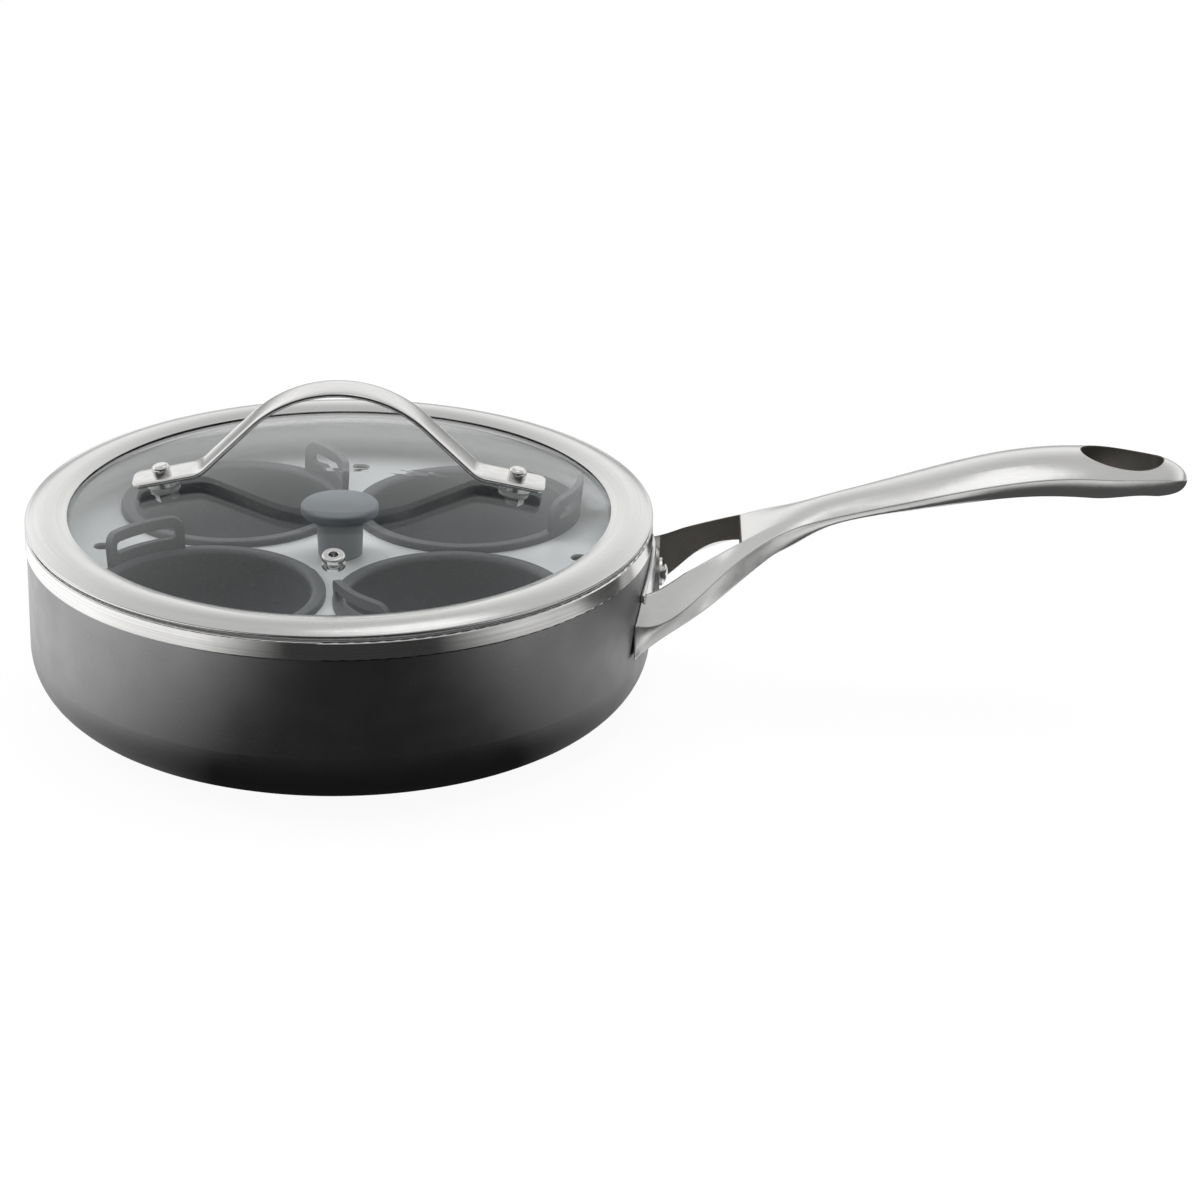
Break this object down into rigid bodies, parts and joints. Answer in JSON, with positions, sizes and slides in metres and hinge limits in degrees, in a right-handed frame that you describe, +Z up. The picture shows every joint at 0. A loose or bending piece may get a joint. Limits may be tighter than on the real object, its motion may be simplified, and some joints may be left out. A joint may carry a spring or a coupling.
{
  "type": "egg poacher pan",
  "caption": "Shallow round pan with a long forked cast handle, a hanging tray of egg cups with a lifting knob, and a domed glass lid with a steel rim and a strap handle.",
  "frame": {"origin": "centre of the flat base of the pan, on the pan's axis", "axes": "+Z up along the pan's axis, +X along the pan handle, +Y away from the picture's camera"},
  "size_m": [0.3842, 0.208, 0.1069],
  "materials": {
    "hard_anodised": "dark grey hard-anodised, fine speckle",
    "polished_steel": "polished stainless steel",
    "satin_steel": "satin cast stainless steel",
    "rim_steel": "bright rolled stainless steel",
    "tray_steel": "satin sheet steel",
    "knob_plastic": "matte blue-grey heat-proof plastic",
    "lid_glass": "clear tempered glass",
    "seal_rubber": "pale silicone",
    "cup_coating": "grey speckled non-stick coating"
  },
  "bodies": {
    "pan": {"pan_body": "hard_anodised", "rim_band": "polished_steel", "pan_handle": "satin_steel", "handle_rivet_lower": "polished_steel", "handle_rivet_upper": "polished_steel"},
    "tray": {"egg_tray": "tray_steel", "tray_knob": "knob_plastic", "knob_washer": "polished_steel", "knob_screw": "polished_steel"},
    "lid": {"lid_glass": "lid_glass", "lid_rim": "rim_steel", "lid_handle": "polished_steel", "lid_washer_right": "polished_steel", "lid_washer_left": "polished_steel", "lid_seal_right": "seal_rubber", "lid_seal_left": "seal_rubber", "lid_screw_right": "polished_steel", "lid_screw_left": "polished_steel", "lid_nut_right": "polished_steel", "lid_nut_left": "polished_steel", "vent_eyelet": "polished_steel", "vent_collar": "polished_steel"},
    "cup_back_right": {"egg_cup_back_right": "cup_coating"},
    "cup_back_left": {"egg_cup_back_left": "cup_coating"},
    "cup_front_left": {"egg_cup_front_left": "cup_coating"},
    "cup_front_right": {"egg_cup_front_right": "cup_coating"}
  },
  "joints": [
    {"name": "tray_lift", "type": "slide", "parent": "pan", "child": "tray", "axis": [0, 0, 1], "range_m": [0, 0.12]},
    {"name": "lid_lift", "type": "slide", "parent": "tray", "child": "lid", "axis": [0, 0, 1], "range_m": [0, 0.15]},
    {"name": "cup_turn_back_right", "type": "hinge", "parent": "tray", "child": "cup_back_right", "pos_m": [0.04096, 0.03819, 0.0465], "axis": [0, 0, 1], "range_deg": [-230, 0]},
    {"name": "cup_turn_back_left", "type": "hinge", "parent": "tray", "child": "cup_back_left", "pos_m": [-0.03819, 0.04096, 0.0465], "axis": [0, 0, 1], "range_deg": [-187, 40]},
    {"name": "cup_turn_front_left", "type": "hinge", "parent": "tray", "child": "cup_front_left", "pos_m": [-0.04096, -0.03819, 0.0465], "axis": [0, 0, 1], "range_deg": [-195, 32]},
    {"name": "cup_turn_front_right", "type": "hinge", "parent": "tray", "child": "cup_front_right", "pos_m": [0.03819, -0.04096, 0.0465], "axis": [0, 0, 1], "range_deg": [-195, 32]}
  ]
}
